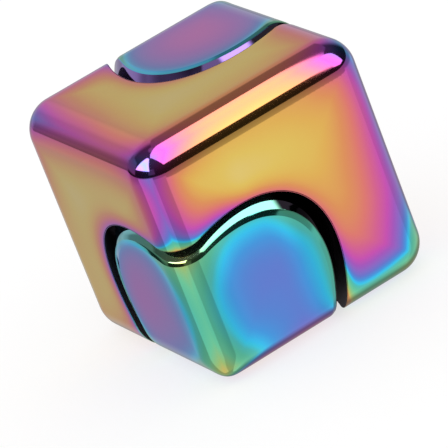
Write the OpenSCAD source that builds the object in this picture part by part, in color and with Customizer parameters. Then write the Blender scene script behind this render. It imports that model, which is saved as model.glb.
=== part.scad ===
// Cube spinner: a rounded metal cube whose two opposite corners are finger pads.
// The pads share one axle along the cube's body diagonal, and the rest of the
// cube spins round them on a small deep-groove ball bearing.
// The cube rests on one face, centred on the origin, with +Z up.

/* [Cube] */
// Edge length of the cube, face to face
edge = 28; // [26:0.5:36]
// Radius along the cube's edges and at its corners
edge_r = 3.6; // [2:0.1:5]

/* [Finger pads] */
// Radius of the pads' round wall, measured from the spin axis
pad_r = 11.5; // [10.6:0.1:11.6]
// Width of the open ring gap between a pad and the spinning body
ring_gap = 1.1; // [0.8:0.1:1.4]
// Space between a pad's flat base and the body's web
base_gap = 0.6; // [0.4:0.1:1]

/* [Web] */
// Thickness of the web that holds the bearing at the cube's centre
web_t = 6.6; // [6:0.1:7]
// Width of the shoulder that stops the bearing's outer ring
shoulder_w = 0.8; // [0.6:0.05:0.9]

/* [Bearing] */
// Outside diameter of the bearing
bearing_od = 12.7; // [12:0.1:14]
// Bore diameter of the bearing
bearing_id = 6.35; // [6:0.05:6.5]
// Width of the bearing
bearing_w = 4.762; // [4.5:0.002:5]
// Diameter of a ball
ball_d = 1.984; // [1.8:0.004:2]
// Number of balls
balls = 10; // [8:1:10]
// Thickness of each pressed steel shield
shield_t = 0.2; // [0.15:0.01:0.25]

/* [Axle] */
// Radius of the flatted ends that key the pads to the axle
key_r = 2.5; // [2:0.1:2.9]
// Depth of the two flats on each end
flat_depth = 0.5; // [0.3:0.1:0.8]
// Length of each flatted end
key_l = 7; // [5:0.5:9]

/* [Hidden] */
$fn = 96;

press_gap = 0.01; // each side, between parts that are pressed or glued together
socket_clear = 0.2; // free depth past the end of the axle
past = 1; // how far a cutter runs out of what it cuts

web_half = web_t / 2;
recess_r = pad_r + ring_gap;
pad_base = web_half + base_gap;
corner_dist = edge * sqrt(3) / 2;

pitch_r = (bearing_od + bearing_id) / 4;
half_w = bearing_w / 2;
groove_r = 0.52 * ball_d; // raceway radius, the usual 52% of the ball's diameter
land = 0.66; // from the ball pitch circle to each ring's land
ring_chamfer = 0.2;

shield_seat_w = 0.28; // radial depth of the shield's seat in the outer ring
shield_inset = 0.2; // from the bearing's face to the shield
shield_clear = 0.2; // radial gap between a shield and the inner ring

cage_half_w = 0.4; // half the cage's radial width
cage_clear = 0.06; // gap between a ball and its pocket
cage_back = 0.55; // thickness of the cage's ring behind the pockets
finger_l = 0.6; // how far the cage's fingers pass the balls' centres

spacer_r = pitch_r - 0.55;

SIDES = ["lower", "upper"];

function ball_name(i) = str("ball_", i < 10 ? "0" : "", i);

// Turns +Z onto the cube's diagonal, from the lower pad's corner to the upper pad's.
module on_spin_axis() {
    translate([0, 0, edge / 2])
        rotate([0, acos(1 / sqrt(3)), 135])
            children();
}

// A child drawn on the upper side of the web, mirrored to the lower side if asked.
module on_side(side) {
    on_spin_axis()
        mirror([0, 0, side == "lower" ? 1 : 0])
            children();
}

module tube(h, r_out, r_in) {
    linear_extrude(height = h)
        difference() {
            circle(r = r_out);
            circle(r = r_in);
        }
}

// The whole cube: three slabs, a rod along each edge and a ball at each corner.
module rounded_cube() {
    core = edge - 2 * edge_r;
    translate([0, 0, edge / 2]) {
        cube([edge, core, core], center = true);
        cube([core, edge, core], center = true);
        cube([core, core, edge], center = true);
        for (turn = [[0, 0, 0], [90, 0, 0], [0, 90, 0]], x = [-1, 1], y = [-1, 1])
            rotate(turn)
                translate([x * core / 2, y * core / 2, 0])
                    cylinder(h = core, r = edge_r, center = true);
        for (x = [-1, 1], y = [-1, 1], z = [-1, 1])
            translate([x, y, z] * core / 2)
                sphere(r = edge_r);
    }
}

// The spinning part: the cube without two opposite corners. Its web holds the bearing
// in a bore that is open above and has a shoulder below.
module spinner_body() {
    color("DarkKhaki")
        difference() {
            rounded_cube();
            for (side = SIDES)
                on_side(side)
                    translate([0, 0, web_half])
                        cylinder(h = corner_dist, r = recess_r);
            on_spin_axis() {
                translate([0, 0, -half_w - press_gap])
                    cylinder(h = half_w + web_half + past, r = bearing_od / 2 + press_gap);
                cylinder(h = web_t + 2 * past, r = bearing_od / 2 - shoulder_w, center = true);
            }
        }
}

// Outline of the axle's flatted ends, and of the sockets that they sit in.
module key_outline(gap) {
    intersection() {
        circle(r = key_r + gap);
        square([2 * (key_r - flat_depth + gap), 2 * (key_r + gap)], center = true);
    }
}

// One finger pad: the corner of the cube inside a cylinder on the spin axis, with a
// blind keyed socket in its base.
module pad(side) {
    color("SlateBlue")
        difference() {
            intersection() {
                rounded_cube();
                on_side(side)
                    translate([0, 0, pad_base])
                        cylinder(h = corner_dist, r = pad_r);
            }
            on_side(side)
                translate([0, 0, pad_base - past])
                    linear_extrude(height = past + key_l + socket_clear)
                        key_outline(press_gap);
        }
}

// The axle: a round journal for the bearing and spacers, and a flatted end for each pad.
module axle() {
    journal_half = pad_base - press_gap;
    color("Silver")
        on_spin_axis() {
            cylinder(h = 2 * journal_half, r = bearing_id / 2 - press_gap, center = true);
            linear_extrude(height = 2 * (journal_half + key_l), center = true)
                key_outline(0);
        }
}

// Washer between the bearing's inner ring and a pad, which keeps the pad off the web.
module spacer(side) {
    color("Gainsboro")
        on_side(side)
            translate([0, 0, half_w + press_gap])
                tube(pad_base - half_w - 2 * press_gap, spacer_r, bearing_id / 2);
}

// Section of a bearing ring with chamfered outer corners, from radius r_in to r_out.
module ring_section(r_in, r_out) {
    polygon([
        [r_in + ring_chamfer, -half_w],
        [r_out - ring_chamfer, -half_w],
        [r_out, -half_w + ring_chamfer],
        [r_out, half_w - ring_chamfer],
        [r_out - ring_chamfer, half_w],
        [r_in + ring_chamfer, half_w],
        [r_in, half_w - ring_chamfer],
        [r_in, -half_w + ring_chamfer]
    ]);
}

module inner_ring() {
    color("LightSteelBlue")
        on_spin_axis()
            rotate_extrude()
                difference() {
                    ring_section(bearing_id / 2, pitch_r - land);
                    translate([pitch_r, 0])
                        circle(r = groove_r);
                }
}

module outer_ring() {
    seat_r = pitch_r + land + shield_seat_w;
    color("LightSteelBlue")
        on_spin_axis()
            rotate_extrude()
                difference() {
                    ring_section(pitch_r + land, bearing_od / 2);
                    translate([pitch_r, 0])
                        circle(r = groove_r);
                    for (y = [-1, 1])
                        translate([0, y * half_w])
                            square([2 * seat_r, 2 * (shield_inset + shield_t)], center = true);
                }
}

// Thin disc that closes the bearing, pressed into the outer ring's seat.
module shield(side) {
    color("Silver")
        on_side(side)
            translate([0, 0, half_w - shield_inset - shield_t + press_gap])
                tube(shield_t, pitch_r + land + shield_seat_w - press_gap,
                     pitch_r - land + shield_clear);
}

module at_ball(i) {
    rotate([0, 0, 360 * i / balls])
        translate([pitch_r, 0, 0])
            children();
}

// Crown cage: a ring behind the balls, with fingers that reach between them.
module ball_cage() {
    pocket_r = ball_d / 2 + cage_clear;
    color("LightGray")
        on_spin_axis()
            difference() {
                translate([0, 0, -finger_l])
                    tube(finger_l + pocket_r + cage_back,
                         pitch_r + cage_half_w, pitch_r - cage_half_w);
                for (i = [1 : balls])
                    at_ball(i)
                        sphere(r = pocket_r);
            }
}

module ball(i) {
    color("WhiteSmoke")
        on_spin_axis()
            at_ball(i)
                sphere(d = ball_d);
}

spinner_body();
axle();
inner_ring();
outer_ring();
ball_cage();
for (side = SIDES) {
    pad(side);
    spacer(side);
    shield(side);
}
for (i = [1 : balls]) ball(i);
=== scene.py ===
"""Looks of the cube spinner: the polished body and pads with their rainbow coating, the steel inside,
and the studio.

Lengths in the numpy part are millimetres from the cube's centre. to_frame() turns them into metres in
the shared frame.
"""

import math

import bpy
import numpy as np
from mathutils import Matrix, Vector


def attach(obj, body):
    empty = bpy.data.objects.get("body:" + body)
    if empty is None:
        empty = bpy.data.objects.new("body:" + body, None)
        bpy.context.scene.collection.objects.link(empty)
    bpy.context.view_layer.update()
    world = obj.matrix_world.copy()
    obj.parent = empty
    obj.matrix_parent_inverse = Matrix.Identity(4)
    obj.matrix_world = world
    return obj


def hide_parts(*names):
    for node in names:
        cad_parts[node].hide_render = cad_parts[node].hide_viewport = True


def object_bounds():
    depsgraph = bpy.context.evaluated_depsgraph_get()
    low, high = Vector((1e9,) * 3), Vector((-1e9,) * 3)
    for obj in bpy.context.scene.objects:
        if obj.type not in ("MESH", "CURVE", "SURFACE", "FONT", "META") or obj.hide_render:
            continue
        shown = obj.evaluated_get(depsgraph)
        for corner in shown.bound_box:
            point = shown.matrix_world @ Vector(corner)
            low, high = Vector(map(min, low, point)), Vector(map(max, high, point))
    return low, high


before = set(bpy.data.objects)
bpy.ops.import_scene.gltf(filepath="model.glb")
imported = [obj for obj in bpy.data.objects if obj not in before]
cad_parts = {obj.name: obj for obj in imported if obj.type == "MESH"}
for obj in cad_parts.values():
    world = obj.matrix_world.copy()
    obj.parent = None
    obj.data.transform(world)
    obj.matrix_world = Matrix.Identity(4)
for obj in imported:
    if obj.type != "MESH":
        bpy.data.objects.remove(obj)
cad_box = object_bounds()

# ---------------------------------------------------------------- sizes, in mm

HALF = 500 * (cad_box[1].x - cad_box[0].x)  # half of the cube's edge
EDGE_R = 3.6  # rounding of the cube's edges and corners
PAD_R = 11.5
RECESS_R = 12.6
WEB_HALF = 3.3
PAD_BASE = 3.9  # from the cube's centre to a pad's flat base
BORE_R, BORE_FLOOR = 6.36, -2.391  # the bearing's seat
SHOULDER_R = 5.55  # the hole through the bearing's shoulder
KEY_R, KEY_FLAT, KEY_DEPTH = 2.51, 2.01, 7.2  # a pad's socket: radius, half width across its flats, depth

# Details that the CAD leaves sharp
TIP_POINT = 5.3  # how far the pads' corners are drawn out to a point
PAD_RIM_R = 0.36  # rounding where a pad's outside meets its round wall
BODY_RIM_R = 0.07  # the same for the body's recess
BASE_RIM_R = 0.25  # rounding round a pad's base
CORNER_R = 0.3  # inside corner between the recess wall and the web
LOWER_LEAN, UPPER_LEAN = math.radians(8), 0.0  # how far a pad wall's normals lean outwards at its rim
LEAN_FULL, LEAN_GONE = 0.4, 1.1  # distances from the rim between which the lean dies out
BOW = 0.08  # how far the normals bend along the body's bowed edge

BODY_TURNS, PAD_TURNS = 432, 360  # faces round the spin axis
REACH = 26  # longer than any ray from the spin axis or the web to the cube's surface
HALVINGS = 36  # of a ray's length, to find where it leaves a shape
HALF_TURN, QUARTER = math.pi, math.pi / 2

# The spin axis, and two directions across it
AXIS = np.array([-1.0, 1.0, 1.0]) / math.sqrt(3)
ACROSS = np.array([-1.0, 1.0, -2.0]) / math.sqrt(6)
BESIDE = np.array([-1.0, -1.0, 0.0]) / math.sqrt(2)

# ------------------------------------------------------------- small formulas


def positive(value):
    return np.maximum(value, 0)


def smooth(value, low, high):
    """0 below low, 1 above high, and a smooth change between."""
    t = np.clip((value - low) / (high - low), 0, 1)
    return t * t * (3 - 2 * t)


def eased(steps, pull):
    """0 to 1, with the steps closer together at both ends."""
    s = np.linspace(0, 1, steps)
    return (1 - pull) * s + pull * (0.5 - 0.5 * np.cos(math.pi * s))


def sweep(start, end, steps):
    """Even steps from start to end, in a row for each turn."""
    s = np.linspace(0, 1, steps)[None, :]
    return np.reshape(start, (-1, 1)) * (1 - s) + np.reshape(end, (-1, 1)) * s


def place(rho, height, turn):
    """Points at a radius, a height and an angle about the spin axis."""
    rho, height, turn = np.broadcast_arrays(rho, height, turn)
    flat = rho[..., None] * (np.cos(turn)[..., None] * ACROSS + np.sin(turn)[..., None] * BESIDE)
    return flat + height[..., None] * AXIS


def radius(p):
    return np.linalg.norm(p - (p @ AXIS)[..., None] * AXIS, axis=-1)


def to_frame(p):
    return p / 1000 + np.array([0, 0, HALF / 1000])


# ------------------------------------------------------------------- shapes
# A shape is a function of points that is negative inside it, zero on its surface and positive outside.


def rounded_cube(p, point=0.0):
    """The cube with rounded edges and corners; point draws the corners out, and not the edges."""
    q = np.abs(p) - (HALF - EDGE_R)
    square = positive(q) ** 2
    total = square.sum(-1)
    drawn = point * square.prod(-1) / np.maximum(total, 1e-9) ** 2
    return np.sqrt(total - drawn) + np.minimum(q.max(-1), 0) - EDGE_R


def pad_cube(p):
    return rounded_cube(p, TIP_POINT)


def round_join(a, b, r):
    """What two solids share, with the edge between them rounded to r."""
    return np.hypot(positive(a + r), positive(b + r)) + np.minimum(np.maximum(a, b) + r, 0) - r


def pad_shape(p):
    return round_join(pad_cube(p), radius(p) - PAD_R, PAD_RIM_R)


def body_shape(p):
    return round_join(rounded_cube(p), RECESS_R - radius(p), BODY_RIM_R)


def leaves_at(shape, start, direction, level=0.0):
    """How far along each ray the shape's value rises to level."""
    near, far = np.zeros(start.shape[:-1]), np.full(start.shape[:-1], float(REACH))
    for _ in range(HALVINGS):
        mid = (near + far) / 2
        inside = shape(start + mid[..., None] * direction) < level
        near, far = np.where(inside, mid, near), np.where(inside, far, mid)
    return near


def gradient(shape, p, step=1e-4):
    """Unit normals of the shape at p."""
    g = np.stack([shape(p + step * e) - shape(p - step * e) for e in np.eye(3)], -1)
    return g / np.linalg.norm(g, axis=-1, keepdims=True)


# -------------------------------------------------- surfaces round the spin axis
# A surface is a list of spans. A span holds points[turn, step, 3] and the normal at each, so that two spans
# that meet at an edge share its points and keep their own normals. Heights are along the spin axis.


def cast_span(shape, start, angles, turn):
    """Points where rays from start, at angles in the plane of each turn, leave the shape."""
    out = np.cos(turn)[:, None, None] * ACROSS + np.sin(turn)[:, None, None] * BESIDE
    direction = np.cos(angles)[..., None] * out + np.sin(angles)[..., None] * AXIS
    origin = np.broadcast_to(start[:, None, :], direction.shape)
    points = origin + leaves_at(shape, origin, direction)[..., None] * direction
    return points, gradient(shape, points)


def flat_span(a, b, normal, turn, steps):
    """Straight run from profile point a to b, each (radius, height), like the normal."""
    rho, height = sweep(a[0], b[0], steps), sweep(a[1], b[1], steps)
    t = turn[:, None]
    return place(rho, height, t), place(normal[0] + 0 * rho, normal[1], t)


def arc_span(centre, r, start, end, turn, steps, sign=1):
    """Quarter round in the profile plane; sign is -1 for an inside corner."""
    a = sweep(start, end, steps)
    t = turn[:, None]
    points = place(centre[0] + r * np.cos(a), centre[1] + r * np.sin(a), t)
    return points, place(sign * np.cos(a), sign * np.sin(a), t)


def wall_span(top, foot, side, lean, turn, steps=40, crowding=1.6):
    """A pad's round wall, with more steps near its rim, where its normals lean outwards."""
    s = np.linspace(0, 1, steps)[None, :] ** crowding
    t = turn[:, None]
    height = top[:, None] * (1 - s) + foot * s
    leant = lean * (1 - smooth(np.abs(height - top[:, None]), LEAN_FULL, LEAN_GONE))
    return place(PAD_R, height, t), place(np.cos(leant), side * np.sin(leant), t)


def plane_angle(shape, p, turn):
    """Angle of the shape's normal in the plane of each turn."""
    g = gradient(shape, p)
    out = np.cos(turn)[:, None] * ACROSS + np.sin(turn)[:, None] * BESIDE
    return np.arctan2(g @ AXIS, (g * out).sum(-1))


def rim(cube, rho, r, side, turn):
    """Centre of the rounding at a rim, its height, and the outside's angle and height there."""
    up = np.broadcast_to(side * AXIS, (len(turn), 3))
    foot = place(rho, 0.0, turn)
    deep = leaves_at(cube, foot, up, -r)
    high = leaves_at(cube, foot, up)
    centre = foot + deep[:, None] * up
    top = foot + high[:, None] * up
    return centre, side * deep, plane_angle(cube, top, turn), side * high


def bowed(points, normals):
    """The body's outside, with normals that make its top front edge bow slightly towards one end."""
    towards_end = positive(points[..., 1] / HALF) ** 2
    on_edge = 2 * positive(normals[..., 0]) * positive(normals[..., 2])
    bent = normals + (BOW * towards_end * on_edge)[..., None] * np.array([0, 1, 0])
    return points, bent / np.linalg.norm(bent, axis=-1, keepdims=True)


def pad_outside(rho_end, side, turn, steps=70, crowding=1.25):
    """A pad's outside from the spin axis to its rim, with more steps near the rim."""
    rho = rho_end * (1 - (1 - np.linspace(0, 1, steps)) ** crowding)[None, :]
    foot = place(rho, 0.0, turn[:, None])
    up = np.broadcast_to(side * AXIS, foot.shape)
    points = foot + leaves_at(pad_cube, foot, up)[..., None] * up
    return points, gradient(pad_cube, points)


def pad_spans(side, lean):
    """One pad from its corner over the rim, down the wall, across the base and into the socket."""
    turn = np.arange(PAD_TURNS) * 2 * math.pi / PAD_TURNS
    rho_rim = PAD_R - PAD_RIM_R
    rho_base = PAD_R - BASE_RIM_R
    centre, top, angle, _ = rim(pad_cube, rho_rim, PAD_RIM_R, side, turn)
    base, foot = side * PAD_BASE, side * (PAD_BASE + BASE_RIM_R)
    end = side * (PAD_BASE + KEY_DEPTH)
    key = np.minimum(KEY_R, KEY_FLAT / np.maximum(np.abs(np.cos(turn)), 0.1))
    return [
        pad_outside(rho_rim, side, turn),
        cast_span(pad_shape, centre, sweep(angle, 0, 12), turn),
        wall_span(top, foot, side, lean, turn),
        arc_span((rho_base, foot), BASE_RIM_R, 0, -side * QUARTER, turn, 6),
        flat_span((rho_base, base), (key, base), (0, -side), turn, 12),
        flat_span((key, base), (key, end), (-1, 0), turn, 6),
        flat_span((key, end), (0, end), (0, -side), turn, 3),
    ]


def body_spans(steps=130, crowding=0.55):
    """The body's outside, then the upper recess, the web with the bearing's seat, and the lower recess."""
    turn = np.arange(BODY_TURNS) * 2 * math.pi / BODY_TURNS
    rho_rim = RECESS_R + BODY_RIM_R
    low_centre, low_z, low_angle, low_top = rim(rounded_cube, rho_rim, BODY_RIM_R, -1, turn)
    high_centre, high_z, high_angle, high_top = rim(rounded_cube, rho_rim, BODY_RIM_R, 1, turn)
    low, high = np.arctan2(low_top, rho_rim)[:, None], np.arctan2(high_top, rho_rim)[:, None]
    s = eased(steps, crowding)[None, :]
    middle = np.zeros((BODY_TURNS, 3))
    wall, ledge = RECESS_R - CORNER_R, WEB_HALF + CORNER_R
    return [
        bowed(*cast_span(rounded_cube, middle, low * (1 - s) + high * s, turn)),
        cast_span(body_shape, high_centre, sweep(high_angle, HALF_TURN, 8), turn),
        flat_span((RECESS_R, high_z), (RECESS_R, ledge), (-1, 0), turn, 24),
        arc_span((wall, ledge), CORNER_R, 0, -QUARTER, turn, 6, -1),
        flat_span((wall, WEB_HALF), (BORE_R, WEB_HALF), (0, 1), turn, 10),
        flat_span((BORE_R, WEB_HALF), (BORE_R, BORE_FLOOR), (-1, 0), turn, 5),
        flat_span((BORE_R, BORE_FLOOR), (SHOULDER_R, BORE_FLOOR), (0, 1), turn, 3),
        flat_span((SHOULDER_R, BORE_FLOOR), (SHOULDER_R, -WEB_HALF), (-1, 0), turn, 3),
        flat_span((SHOULDER_R, -WEB_HALF), (wall, -WEB_HALF), (0, -1), turn, 10),
        arc_span((wall, -ledge), CORNER_R, QUARTER, 0, turn, 6, -1),
        flat_span((RECESS_R, -ledge), (RECESS_R, low_z), (-1, 0), turn, 24),
        cast_span(body_shape, low_centre, sweep(-HALF_TURN, low_angle, 8), turn),
    ]


# -------------------------------------------------------------------- meshes


def face_columns(spans, index, closed):
    """Corner indices and corner normals of the faces, a column at a time; a pole's are triangles."""
    steps = index.shape[1]
    after = np.roll(np.arange(len(index)), -1)
    faces, normals, a = [], [], 0
    for _, n in spans:
        for k in range(n.shape[1] - 1):
            b = (a + 1) % steps
            quad = np.stack([index[:, a], index[:, b], index[after, b], index[after, a]], 1)
            bend = np.stack([n[:, k], n[:, k + 1], n[after, k + 1], n[after, k]], 1)
            corners = [0, 1, 2, 3]
            if not closed and a == 0:
                corners = [0, 1, 2]
            if not closed and b == steps - 1:
                corners = [0, 1, 3]
            faces.append(quad[:, corners])
            normals.append(bend[:, corners])
            a = b
    return faces, normals


def faced_outwards(points, faces, normals):
    """The same faces, turned over if they face against their normals."""
    agreement = 0.0
    for face, bend in zip(faces, normals):
        first, second, third = (points[face[:, i]] for i in range(3))
        agreement += (np.cross(second - first, third - first) * bend[:, 0]).sum()
    if agreement < 0:
        return [f[:, ::-1] for f in faces], [b[:, ::-1] for b in normals]
    return faces, normals


def make_piece(name, spans, closed, coating):
    """Mesh of the spans, welded, with their own normals and what the coating is like at each point."""
    points = np.concatenate([spans[0][0]] + [p[:, 1:] for p, _ in spans[1:]], 1)
    if closed:
        points = points[:, :-1]
    index = np.arange(points[..., 0].size).reshape(points.shape[:2])
    if not closed:  # each end is one point on the axis
        index[:, 0], index[:, -1] = index[0, 0], index[0, -1]
    points = points.reshape(-1, 3)
    faces, normals = faced_outwards(points, *face_columns(spans, index, closed))
    used = np.unique(index)
    points = points[used]
    mesh = bpy.data.meshes.new(name)
    corners = [face for column in faces for face in np.searchsorted(used, column).tolist()]
    mesh.from_pydata(to_frame(points).tolist(), [], corners)
    bends = np.concatenate([b.reshape(-1, 3) for b in normals])
    bends /= np.linalg.norm(bends, axis=1, keepdims=True)
    mesh.polygons.foreach_set("use_smooth", [True] * len(mesh.polygons))
    mesh.normals_split_custom_set(bends.tolist())
    for key, values in coating(points).items():
        mesh.attributes.new(key, "FLOAT", "POINT").data.foreach_set("value", values.astype(np.float32))
    piece = bpy.data.objects.new(name, mesh)
    bpy.context.scene.collection.objects.link(piece)
    return piece


# ------------------------------------------------------------ film thickness
# The coating's interference colour goes from gold through rose, purple, blue, teal and green to yellow as
# the film gets thicker: 0 is gold and 1 is the next yellow. It is thicker towards edges, corners and rims.
# On the pads' round walls it is pale. In places the colour is darkened as painted shade, and in the ring
# gap it is painted dark and dull as painted shade; the pale, shade and gap-shade values are 0 to 1. In
# these functions x, y and z go from -1 to 1 across the cube; +X is its
# front, -Y its left side and +Z its top. Their weights were chosen to put each colour in its place.


def slope(p, level, x=0.0, y=0.0, z=0.0):
    """A number that changes evenly: level at the cube's centre, and x, y or z more on that face."""
    return level + (p @ np.array([x, y, z])) / HALF


def edge_terms(p):
    """How close to an edge, and to a corner, each point is: about 1 there and nearly 0 on the faces."""
    small, middle, _ = np.sort(np.abs(p) / HALF, axis=-1).T
    return (middle / 0.92) ** 4.3, (small * middle / 0.8) ** 4


def fading(distance, scale):
    """1 at no distance, falling off over about scale."""
    return np.exp(-positive(distance) / scale)


def on_wall(p):
    """1 on a pad's round wall."""
    return smooth(radius(p), PAD_R - 0.12, PAD_R - 0.01)


def deep(p):
    """1 far below the cube's surface."""
    return smooth(-rounded_cube(p), 1.1, 2.8)


def body_edges(p):
    """How much thicker the film is along the body's edges."""
    x, y, z = (p / HALF).T
    all_edges = slope(p, 0.415, 0.115, 0.02, 0.015) - 0.465 * x * z + 0.12 * y * z - 0.2 * x * y
    all_edges = all_edges - 0.03 * (1 + x) * (1 - z)
    right_side = 0.1 * x * positive(y) ** 2
    right_upright = 0.5 * positive(z) * (1 - z) * x * positive(y) ** 4
    thin_right = 0.14 * smooth(-z, 0.0, 0.3) * positive(y) ** 4
    thin_foot = 0.1 * smooth(-z, 0.6, 0.95)
    return all_edges + right_side + right_upright - positive(x) * (thin_right + thin_foot)


def body_coating(p):
    """Gold faces, rose to blue towards the edges, and a recess wall painted dark and dull as painted shade.
    """
    x, y, z = (p / HALF).T
    edge, corner = edge_terms(p)
    outwards = radius(p) - RECESS_R
    in_front = smooth(x, 0.6, 1.0)
    front_face = x ** 6 * (0.02 + 0.06 * (y - z) + 0.2 * positive(-z) ** 2)
    above_front_edge = smooth(z - x, 0.02, 0.1) * smooth(x, 0.7, 0.82)
    at_rim = slope(p, 0.23, -0.03, -0.28, -0.1) + 0.3 * smooth(-z, 0.3, 0.8) * in_front
    left_halo = smooth(-y, 0.25, 0.6) * in_front
    film = slope(p, -0.01, 0.0, 0.01, -0.01) + front_face
    film = film + edge * body_edges(p) + corner * slope(p, 0.3, 0.12) + 0.045 * above_front_edge
    film = film + fading(outwards, 0.6) * at_rim + 0.2 * fading(outwards, 1.8) * left_halo
    # The recess wall is painted dark and dull, as painted shade.
    return {"film": film, "pale": 0 * film, "painted_gap_shade": smooth(-outwards, -0.03, 0.0), "painted_shade": 0 * film}


def lower_pad_coating(p):
    """Blue and purple faces with teal edges; the wall is painted dark on the right and the front face's
    flanks a little darker, as painted shade.
    """
    x, y, z = (p / HALF).T
    edge, corner = edge_terms(p)
    at_rim = fading(PAD_R - radius(p), 1.1) * slope(p, 0.34, -0.2, 0, -0.02)
    front_face = x ** 6 * (0.06 * smooth(y, -0.25, 0.05) + 0.04 * smooth(z, -0.3, 0.1))
    front_foot = smooth(-z, 0.84, 1.0) * smooth(x, 0.5, 0.9)
    left_of_foot = smooth(-y, 0.3, 0.7) * smooth(y, -0.97, -0.85)
    film = slope(p, 0.285, 0.215, -0.015, -0.01) + front_face + at_rim
    film = film + edge * slope(p, 0.14, -0.08, -0.23, 0.17) + 0.385 * corner
    film = film - front_foot * (0.27 + 0.25 * left_of_foot)
    # Painted shade: the flanks of the front face are darkened a little, and the wall is darkened to near
    # black on the right; deep in the ring gap the colour is painted dark and dull.
    painted_shade_flanks = 0.2 * smooth(x, 0.96, 0.995) * (smooth(-y, 0.6, 0.8) + smooth(y, -0.12, 0.03))
    painted_shade = painted_shade_flanks + (1 - painted_shade_flanks) * on_wall(p) * smooth(y, -0.11, -0.05)
    return {"film": film, "pale": 0.14 * on_wall(p), "painted_gap_shade": deep(p), "painted_shade": painted_shade}


def upper_pad_coating(p):
    """Purple faces with a blue rim; the wall has bands of painted shade, and the outside near the rim is a
    little darker, also painted shade.
    """
    y = p[:, 1] / HALF
    edge, corner = edge_terms(p)
    wall = on_wall(p)
    at_rim = fading(PAD_R - radius(p), 1.5)
    outside = slope(p, 0.17, 0, -0.01, 0.13) + edge * slope(p, 0.07, -0.04, 0.09, 0.07) + 0.3 * corner
    outside = outside + at_rim * slope(p, 0.17, 0, 0.03, 0.18)
    # Painted shade: bands of the wall are darkened to near black and the outside near the rim a little;
    # deep in the ring gap the colour is painted dark and dull.
    painted_shade_bands = smooth(y, 0.5, 0.57) + 0.85 * smooth(y, -0.1, 0.1) * smooth(-y, -0.29, -0.25)
    painted_shade = wall * painted_shade_bands + 0.25 * at_rim * (1 - wall)
    film = outside * (1 - wall) + 0.43 * wall
    return {"film": film, "pale": 0.06 + 0 * film, "painted_gap_shade": deep(p), "painted_shade": painted_shade}


# ----------------------------------------------------------------- node tools


class Nodes:
    """Short ways to add nodes to a tree. A value is a number, a tuple or another node's output."""

    def __init__(self, tree):
        self.tree = tree
        tree.nodes.clear()

    def add(self, kind, values=(), **settings):
        made = self.tree.nodes.new(kind)
        for key, value in settings.items():
            setattr(made, key, value)
        for key, value in dict(values).items():
            socket = made.inputs[key]
            if isinstance(value, bpy.types.NodeSocket):
                self.tree.links.new(value, socket)
            else:
                socket.default_value = value
        return made

    def math(self, operation, a, b=0.0, c=0.0):
        return self.add("ShaderNodeMath", {0: a, 1: b, 2: c}, operation=operation).outputs[0]

    def vector(self, operation, a, b):
        """A vector; b is the second vector, or a number for SCALE."""
        second = "Scale" if operation == "SCALE" else 1
        return self.add("ShaderNodeVectorMath", {0: a, second: b}, operation=operation).outputs[0]

    def dot(self, vector, direction):
        made = self.add("ShaderNodeVectorMath", {0: vector, 1: tuple(direction)}, operation="DOT_PRODUCT")
        return made.outputs["Value"]

    def length(self, vector):
        return self.add("ShaderNodeVectorMath", {0: vector}, operation="LENGTH").outputs["Value"]

    def noise(self, at, scale, detail):
        values = {"Vector": at, "Scale": scale, "Detail": detail}
        return self.add("ShaderNodeTexNoise", values).outputs["Fac"]

    def attribute(self, name):
        return self.add("ShaderNodeAttribute", attribute_name=name).outputs["Fac"]

    def fade(self, value, low, high, at_low=0.0, at_high=1.0):
        """Smooth change from at_low to at_high as value goes from low to high."""
        values = {"Value": value, "From Min": low, "From Max": high, "To Min": at_low, "To Max": at_high}
        return self.add("ShaderNodeMapRange", values, interpolation_type="SMOOTHSTEP").outputs["Result"]

    def mix(self, share, a, b):
        """Numbers a and b mixed by share."""
        return self.add("ShaderNodeMix", {0: share, 2: a, 3: b}, data_type="FLOAT").outputs[0]

    def tint(self, share, a, b):
        """Colours a and b mixed by share."""
        return self.add("ShaderNodeMix", {0: share, 6: a, 7: b}, data_type="RGBA").outputs[2]

    def ramp(self, value, stops):
        made = self.add("ShaderNodeValToRGB", {"Fac": value})
        band = made.color_ramp
        while len(band.elements) > 1:
            band.elements.remove(band.elements[-1])
        band.elements[0].position, band.elements[0].color = stops[0][0], (*stops[0][1], 1)
        for position, colour in stops[1:]:
            band.elements.new(position).color = (*colour, 1)
        return made.outputs["Color"]

    def principled(self, values):
        """The Principled shader with these values, as the material's surface."""
        shader = self.add("ShaderNodeBsdfPrincipled", values)
        self.add("ShaderNodeOutputMaterial", {"Surface": shader.outputs[0]})


# ------------------------------------------------------------------ materials

WHITE = (1, 1, 1, 1)
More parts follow.
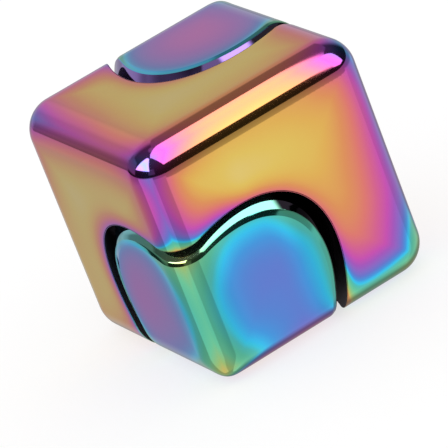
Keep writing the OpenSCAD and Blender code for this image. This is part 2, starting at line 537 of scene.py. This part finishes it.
# Painted shade: the dark, dull colour of the ring gap, and the near black that other shaded places are
# darkened to.
GAP_SHADE_COLOUR = (0.03, 0.02, 0.03, 1)
PAINTED_SHADE_COLOUR = (0.008, 0.006, 0.009, 1)
DEEP_ROUGH = 0.6
COAT, COAT_ROUGH = 0.4, 0.03  # clear layer over the film
POLISH = (0.05, 0.09)  # the coating's roughness, from grain to grain
DRIFT = 0.02  # how far the film's thickness wanders from place to place
MARK_ROUGH = 0.12  # how much rougher steel is in its turning marks
MARK_DEPTH = 0.00002  # metres
FILM_LOW, FILM_HIGH = -0.12, 1.12
FILM_COLOURS = [
    (-0.12, (0.77, 0.64, 0.36)),  # straw
    (-0.03, (0.78, 0.60, 0.20)),
    (0.00, (0.78, 0.55, 0.11)),  # gold
    (0.03, (0.78, 0.45, 0.09)),  # amber
    (0.08, (0.76, 0.29, 0.10)),  # orange
    (0.14, (0.76, 0.19, 0.16)),  # salmon
    (0.21, (0.69, 0.12, 0.28)),  # rose
    (0.30, (0.59, 0.075, 0.45)),  # magenta
    (0.37, (0.38, 0.09, 0.52)),  # purple
    (0.50, (0.135, 0.18, 0.63)),  # violet-blue
    (0.53, (0.085, 0.24, 0.68)),
    (0.56, (0.05, 0.32, 0.76)),  # azure
    (0.60, (0.03, 0.54, 0.90)),
    (0.62, (0.035, 0.60, 0.80)),  # cyan
    (0.65, (0.07, 0.53, 0.50)),  # teal
    (0.70, (0.10, 0.55, 0.37)),
    (0.77, (0.15, 0.60, 0.34)),  # green
    (0.90, (0.35, 0.55, 0.18)),
    (1.00, (0.62, 0.50, 0.13)),  # yellow
    (1.05, (0.65, 0.30, 0.10)),  # orange again
]


def new_material(name):
    made = bpy.data.materials.new(name)
    made.use_nodes = True
    return made, Nodes(made.node_tree)


def film_colour(n, film):
    span = FILM_HIGH - FILM_LOW
    values = {"Value": film, "From Min": FILM_LOW, "From Max": FILM_HIGH}
    share = n.add("ShaderNodeMapRange", values).outputs["Result"]
    return n.ramp(share, [((thickness - FILM_LOW) / span, colour) for thickness, colour in FILM_COLOURS])


def rainbow_coating(name):
    """Polished metal under an interference film, whose thickness is the mesh's film value.

    Deep in the ring gap the colour is painted dark and dull, as painted shade, and elsewhere it is darkened
    towards near black where the mesh asks for painted shade.
    """
    made, n = new_material(name)
    at = n.add("ShaderNodeTexCoord").outputs["Object"]
    drift, grain = n.noise(at, 160.0, 2.0), n.noise(at, 9000.0, 3.0)
    pale, painted_gap_shade, painted_shade = (n.attribute(key) for key in ("pale", "painted_gap_shade", "painted_shade"))
    film = n.math("MULTIPLY_ADD", drift, DRIFT, n.math("SUBTRACT", n.attribute("film"), DRIFT / 2))
    # Painted shade: the colour is darkened towards near black, and the clear coat thinned, where the shade
    # value is high.
    colour = n.tint(painted_shade, n.tint(pale, film_colour(n, film), WHITE), PAINTED_SHADE_COLOUR)
    metal = n.math("SUBTRACT", 1.0, painted_gap_shade)
    n.principled({
        # Painted shade: in the ring gap the metal is painted dark, not metallic and dull.
        "Base Color": n.tint(painted_gap_shade, colour, GAP_SHADE_COLOUR),
        "Metallic": metal,
        "Roughness": n.mix(painted_gap_shade, n.fade(grain, 0.3, 0.7, *POLISH), DEEP_ROUGH),
        "Coat Weight": n.math("MULTIPLY", metal, n.math("MULTIPLY_ADD", painted_shade, -COAT, COAT)),
        "Coat Roughness": COAT_ROUGH,
    })
    return made


def turned_steel(name, colour, rough, mark):
    """Steel with fine marks in circles round the spin axis, as turning and grinding leave."""
    made, n = new_material(name)
    at = n.add("ShaderNodeTexCoord").outputs["Object"]
    arm = n.vector("SUBTRACT", at, (0.0, 0.0, HALF / 1000))
    along = n.dot(arm, AXIS)
    out = n.vector("SUBTRACT", arm, n.vector("SCALE", tuple(AXIS), along))
    profile = n.add("ShaderNodeCombineXYZ", {0: n.length(out), 1: along}).outputs[0]
    rings, cloud = n.noise(profile, 22000.0, 4.0), n.noise(at, 900.0, 3.0)
    dark, light = [tuple(c * k for c in colour) for k in (0.86, 1.06)]
    bump = n.add("ShaderNodeBump", {"Height": rings, "Strength": mark, "Distance": MARK_DEPTH})
    n.principled({
        "Base Color": n.ramp(cloud, [(0.3, dark), (0.7, light)]),
        "Metallic": 1.0,
        "Roughness": n.fade(rings, 0.3, 0.7, rough, rough + MARK_ROUGH),
        "Normal": bump.outputs[0],
    })
    return made


# Name: colour, roughness, strength of the turning marks
STEEL_KINDS = {
    "axle_steel": ((0.62, 0.62, 0.63), 0.22, 0.04),
    "bearing_steel": ((0.7, 0.71, 0.73), 0.12, 0.04),
    "shield_steel": ((0.66, 0.66, 0.66), 0.25, 0.04),
    "cage_steel": ((0.68, 0.66, 0.62), 0.3, 0.04),
    "ball_steel": ((0.78, 0.79, 0.8), 0.05, 0.01),
}
STEELS = {name: turned_steel(name, *look) for name, look in STEEL_KINDS.items()}


def steel_slot(node):
    if node == "ball_cage":
        return "cage_steel"
    if node.startswith("ball_"):
        return "ball_steel"
    if node.endswith("_shield"):
        return "shield_steel"
    if node.endswith("_ring"):
        return "bearing_steel"
    return "axle_steel"


# -------------------------------------------------------------------- pieces

# CAD node: its visual's name, spans, whether they close on themselves, coating, body and material. They
# are closed where the axis passes through a hole, and otherwise they start and end on the axis.
SHELLS = {
    "spinner_body": ("body_shell", body_spans(), True, body_coating, "spinner", "body_coating"),
    "lower_pad": (
        "lower_pad_shell", pad_spans(-1, LOWER_LEAN), False, lower_pad_coating, "grip", "pad_coating",
    ),
    "upper_pad": (
        "upper_pad_shell", pad_spans(1, UPPER_LEAN), False, upper_pad_coating, "grip", "pad_coating",
    ),
}

for node, (name, spans, closed, coating, body, slot) in SHELLS.items():
    piece = make_piece(name, spans, closed, coating)
    piece.data.materials.append(rainbow_coating(slot))
    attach(piece, body)
    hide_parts(node)

for node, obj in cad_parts.items():
    if node not in SHELLS:
        obj.material_slots[0].material = STEELS[steel_slot(node)]

# -------------------------------------------------------------------- studio
# The coating mirrors the whole studio, so the studio is a world whose brightness depends on the direction.
# Only glossy rays see it. All other rays see an even white.


def heading(azimuth, elevation):
    """Unit direction; azimuth from +X towards +Y, elevation above the horizon, in degrees."""
    a, e = math.radians(azimuth), math.radians(elevation)
    return Vector((math.cos(a) * math.cos(e), math.sin(a) * math.cos(e), math.sin(e)))


def window(n, ray, corners, soft):
    """1 inside the region with these corners, and 0 outside; its lower edge runs with the azimuth."""
    share = None
    for a, b in zip(corners, corners[1:] + corners[:1]):
        inward = heading(*a).cross(heading(*b)).normalized()
        side = n.fade(n.dot(ray, inward), -soft / 2, soft / 2)
        share = side if share is None else n.math("MULTIPLY", share, side)
    return share


def spot(n, ray, centre, inner, outer):
    """1 within inner degrees of the centre, falling to 0 at outer."""
    near, far = math.cos(math.radians(inner)), math.cos(math.radians(outer))
    return n.fade(n.dot(ray, heading(*centre)), far, near)


# Areas of the studio, each laid over the ones before it: form, where, and brightness. A spot's place is its
# centre, inner and outer radius; a window's is its corners and how soft its edges are. All are in degrees
# of azimuth and elevation, but for the softness.
ABOVE = [
    (spot, ((165, 18), 32, 56), 0.6),  # pale wall on the far side
    (spot, ((177, 31), 5, 16), 0.72),
    (window, ([(60, 60), (100, 50), (150, 42), (152, 75), (128, 89), (60, 89)], 0.07), 0.27),
    (spot, ((0, 90), 3, 12), 0.4),  # dim panels overhead and behind
    (window, ([(-62, 8), (-40, 8), (-40, 26), (-62, 26)], 0.08), 0.16),
    (window, ([(-152, 6), (-112, 6), (-112, 36), (-152, 36)], 0.1), 0.25),
]
BELOW = [
    (spot, ((-150, -8), 8, 18), 0.62),
    (window, ([(-52, -8), (-52, -60), (-10, -60), (-10, -8)], 0.03), 0.66),  # pale sheets on the ground
    (window, ([(55, -10), (55, -70), (118, -70), (118, -10)], 0.1), 0.8),
    (window, ([(-12, -15), (-12, -80), (60, -80), (60, -15)], 0.04), 0.95),
    (window, ([(-102, -2), (-102, -60), (-52, -60), (-52, -2)], 0.03), 0.92),
    (spot, ((140, -50), 16, 40), 0.32),
    (spot, ((157.5, -24.3), 4, 20), 0.38),  # the backdrop
]
CRISP = 0.03  # softness of the lights' edges
LIGHTS = [
    # The main softbox, in three parts that overlap
    (window, ([(0, 27), (54, 18), (49, 52), (10, 70), (-50, 64)], CRISP), 2.4),
    (window, ([(-50, 62), (20, 50), (52, 54), (103, 66.5), (104, 69), (-53, 74)], CRISP), 2.4),
    (window, ([(27.5, 14), (50, 7), (68, 7), (68, 40), (50, 60), (27.5, 30)], CRISP), 2.4),
    # A narrow one on the left
    (window, ([(-110, 20), (-57, 20), (-57, 60), (-70, 62)], CRISP), 4.0),
]


def laid_over(n, ray, level, areas):
    for form, where, brightness in areas:
        level = n.mix(form(n, ray, *where), level, brightness)
    return level


def studio_world():
    world = bpy.data.worlds.new("studio")
    bpy.context.scene.world = world
    world.use_nodes = True
    n = Nodes(world.node_tree)
    ray = n.add("ShaderNodeTexCoord").outputs["Generated"]
    up = n.dot(ray, (0, 0, 1))
    above = laid_over(n, ray, n.fade(up, 0.1, 0.95, 0.025, 0.12), ABOVE)
    below = laid_over(n, ray, n.fade(up, -0.42, -0.02, 0.56, 0.42), BELOW)
    level = laid_over(n, ray, n.mix(n.fade(up, -0.01, 0.01), below, above), LIGHTS)
    glossy = n.add("ShaderNodeLightPath").outputs["Is Glossy Ray"]
    sky = n.add("ShaderNodeBackground", {"Color": WHITE, "Strength": n.mix(glossy, 1.0, level)})
    n.add("ShaderNodeOutputWorld", {"Surface": sky.outputs[0]})


def floor(half_width=3.0, grey=0.32, glow=0.7):
    """Pale ground that glows a little, so that it is nearly white; reflections don't show it."""
    mesh = bpy.data.meshes.new("floor")
    w = half_width
    mesh.from_pydata([(-w, -w, 0), (w, -w, 0), (w, w, 0), (-w, w, 0)], [], [(0, 1, 2, 3)])
    made = bpy.data.objects.new("floor", mesh)
    bpy.context.scene.collection.objects.link(made)
    material, n = new_material("pale_floor")
    paint = n.add("ShaderNodeBsdfDiffuse", {"Color": (grey, grey, grey, 1)})
    light = n.add("ShaderNodeEmission", {"Color": WHITE, "Strength": glow})
    both = n.add("ShaderNodeAddShader", {0: paint.outputs[0], 1: light.outputs[0]})
    n.add("ShaderNodeOutputMaterial", {"Surface": both.outputs[0]})
    mesh.materials.append(material)
    made.visible_glossy = False


studio_world()
floor()

# -------------------------------------------------------------------- camera
# It looks down at the cube along a tilted line, so that in the picture the cube stands on a corner.

CAMERA_AT = Vector((0.38502, -0.16145, 0.19847))
LOOKING = Vector((-0.84166, 0.34935, -0.41179))
CAMERA_UP = Vector((-0.21390, 0.48452, 0.84822))
SENSOR, LENS = 36, 348.18  # mm

camera = bpy.data.objects.new("camera", bpy.data.cameras.new("camera"))
bpy.context.scene.collection.objects.link(camera)
camera.data.sensor_width = SENSOR
camera.data.lens = LENS
turned = Matrix((LOOKING.cross(CAMERA_UP), CAMERA_UP, -LOOKING)).transposed().to_4x4()
camera.matrix_world = Matrix.Translation(CAMERA_AT) @ turned
bpy.context.scene.camera = camera
bpy.context.scene.view_settings.view_transform = "Standard"
